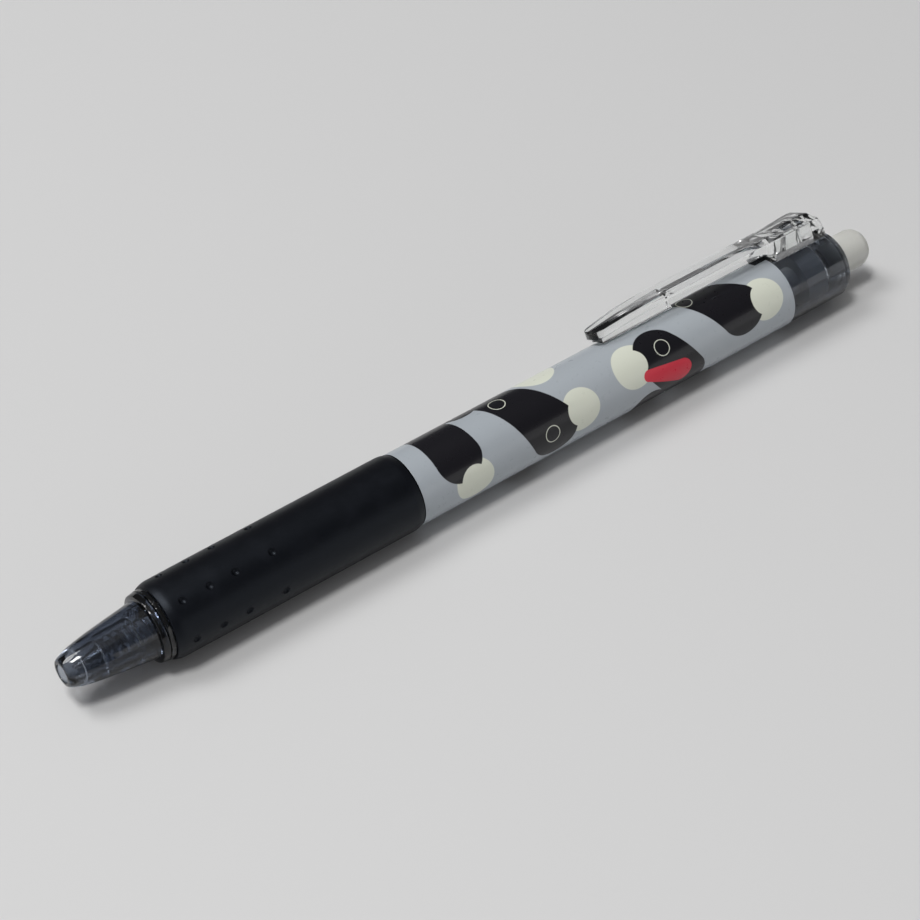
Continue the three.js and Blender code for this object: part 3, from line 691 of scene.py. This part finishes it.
ERASER_R = 3.0
PEN_LENGTH = 142.0
dome = [(PEN_LENGTH - 2.0 + 2.0 * math.sin(a), ERASER_R - 2.0 + 2.0 * math.cos(a))
        for a in [math.pi / 2 * i / 10 for i in range(11)]]
eraser_paint, place = finish(
    "eraser_rubber", Subsurface_Weight=0.55, Subsurface_Radius=(0.003, 0.003, 0.0027),
    Specular_IOR_Level=0.4, Transmission_Weight=0.12, IOR=1.45)
haze = place.noise(0.5, detail=3)
grit = place.noise(10.0, detail=3)
feed(eraser_paint, Base_Color=blend(haze, shade(202, 202, 196), shade(216, 216, 211)),
     Roughness=0.42 + 0.12 * grit, Normal=grit.bump(grit, 0.012))
piece("eraser_tip", turned([
    (132.3, 0), (132.3, 2.45), (135.1, 2.45), (135.1, ERASER_R, 0.15), *dome, (PEN_LENGTH, 0),
], closed=False, steps=80), eraser_paint, "barrel", ["eraser"])


# ---- Clip ---------------------------------------------------------------------------
# A crystal-clear moulding that is clip and push button at once: a long arm with a keel
# under its tip, and a hollow thumb block whose foot reaches through the barrel's slot.

CLIP_REAR = 133.6
CLIP_TIP = CLIP_REAR - 43.3
NOSE = 16.0
CLIP_HALF = 3.1
ARM_TOP = BARREL_R + 3.2
REAR_TOP = BARREL_R + 3.65
ARM = 1.15
CLEARANCE = BARREL_R + 0.3


def clip_top(x):
    nose = min(max((x - CLIP_TIP) / NOSE, 0), 1)
    rise = min(max((x - CLIP_REAR + 9) / 7.5, 0), 1)
    rise = rise * rise * (3 - 2 * rise)
    return ARM_TOP - 1.05 * (1 - math.sin(nose * math.pi / 2)) + (REAR_TOP - ARM_TOP) * rise


def clip_half(x):
    nose = min(max((x - CLIP_TIP) / NOSE, 0), 1)
    return 1.9 + (CLIP_HALF - 1.9) * math.sin(nose * math.pi / 2)


def spaced(start, stop, count):
    return [start + (stop - start) * i / count for i in range(count + 1)]


BLOCK_FRONT = CLIP_REAR - 10.1
CHIN = 8.0
chin_top = ARM_TOP - ARM
chin = [(BLOCK_FRONT - CHIN + CHIN * math.sin(a), BARREL_R + (chin_top - BARREL_R) * math.cos(a))
        for a in spaced(0, math.pi / 2, 12)]
profile = (
    [(CLIP_TIP, clip_top(CLIP_TIP) - ARM, 0.4)]
    + [(x, clip_top(x) - ARM) for x in spaced(CLIP_TIP + 1.1, CLIP_TIP + NOSE, 14)] + chin
    + [(BLOCK_FRONT, 4.25), (CLIP_REAR, 4.25), (CLIP_REAR, 6.45), (CLIP_REAR - 0.4, 7.7, 0.5)]
    + [(x, clip_top(x)) for x in spaced(CLIP_REAR - 1.5, CLIP_REAR - 9, 10)]
    + [(x, clip_top(x)) for x in spaced(CLIP_TIP + NOSE, CLIP_TIP + 1.1, 14)]
    + [(CLIP_TIP, clip_top(CLIP_TIP), 0.5)])
end = [(CLIP_TIP + 1.9 - 1.9 * math.sin(a), clip_half(CLIP_TIP + 1.9) * math.cos(a))
       for a in spaced(0, math.pi, 16)]
flank = [(x, clip_half(x)) for x in spaced(CLIP_TIP + NOSE, CLIP_TIP + 1.9, 12)][:-1]
plan = ([(CLIP_REAR + 1, -CLIP_HALF), (CLIP_REAR + 1, CLIP_HALF)] + flank + end
        + [(x, -y) for x, y in reversed(flank)])
clip = combined(plate(profile, -5, 5), plate(plan, 2, 12, axis="Z"), "INTERSECT")
for hand in (-1, 1):
    wedge = box((CLIP_TIP - 2, -3, -3), (CLIP_REAR + 3, 3, 3))
    bmesh.ops.rotate(wedge, matrix=Matrix.Rotation(math.pi / 4, 3, "X"), verts=wedge.verts)
    out = (3 - 0.7 / math.sqrt(2)) / math.sqrt(2)
    bmesh.ops.translate(wedge, vec=(0, hand * (CLIP_HALF + out), ARM_TOP + out), verts=wedge.verts)
    clip = combined(clip, wedge)
keel = plate([(CLIP_TIP + 1.2, 4.5, 0.9), (CLIP_TIP + 14.2, 4.5, 0.6)]
             + [(x, clip_top(x) - ARM + 0.4) for x in spaced(CLIP_TIP + 14.2, CLIP_TIP + 1.2, 8)],
             -1.3, 1.3)
rib = box((CLIP_TIP + 13, -0.45, 5.2), (BLOCK_FRONT + 1, 0.45, ARM_TOP - ARM + 0.3))
clip = combined(clip, keel, "UNION")
clip = combined(clip, rib, "UNION")
clip = combined(clip, turned([
    (CLIP_TIP - 5, 0), (CLIP_TIP - 5, CLEARANCE), (CLIP_REAR + 5, CLEARANCE), (CLIP_REAR + 5, 0),
], closed=False, steps=128))
clip = combined(clip, box((BLOCK_FRONT + 1.2, -1.7, 3), (CLIP_REAR - 1.8, 2.15, chin_top)))
foot = box((127.4, -1.2, 2.5), (130.1, 1.2, chin_top + 0.4))
clip = combined(clip, foot, "UNION")
clip = eased(clip, 0.17)
# The last colour is the painted dark outline where the clip is seen edge-on.
clear_clip = clear("clear_clip", (0.94, 0.95, 0.945, 1), 0.0, (0.2, 0.21, 0.2, 1))
piece("clip_body", clip, clear_clip, "clip", ["clip"], sharp=28)
